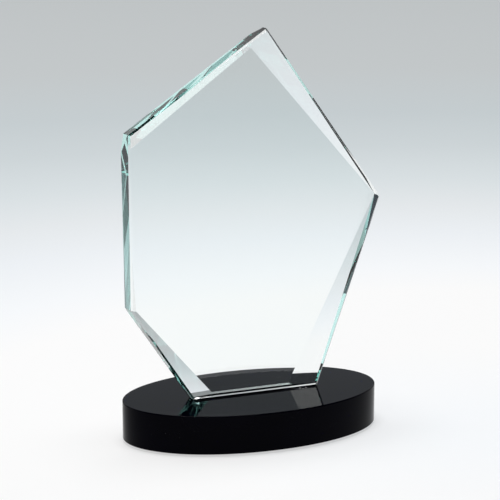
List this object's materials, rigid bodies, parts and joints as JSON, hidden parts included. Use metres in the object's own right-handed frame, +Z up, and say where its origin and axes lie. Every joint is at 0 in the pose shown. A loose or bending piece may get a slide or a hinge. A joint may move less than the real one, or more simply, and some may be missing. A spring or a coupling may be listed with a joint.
{
  "type": "crystal award",
  "caption": "Upright bevelled clear glass plaque with an angular outline, glued on a solid black oval base with a thin felt pad beneath.",
  "frame": {"origin": "middle of the underside of the felt pad, on the surface that the award stands on", "axes": "+Z up, X along the long axis of the oval base, -Y out of the plaque's plain front face"},
  "size_m": [0.1275, 0.078, 0.19],
  "materials": {
    "clear_crystal": "polished clear glass with a pale jade edge",
    "clear_adhesive": "cured clear adhesive, glossy",
    "black_crystal": "polished solid black glass",
    "adhesive_film": "translucent double-sided film, matt",
    "black_felt": "pressed black felt"
  },
  "bodies": {
    "root": {"crystal_blade": "clear_crystal", "bond_film": "clear_adhesive", "oval_base": "black_crystal", "pad_adhesive": "adhesive_film", "felt_pad": "black_felt"}
  },
  "joints": []
}
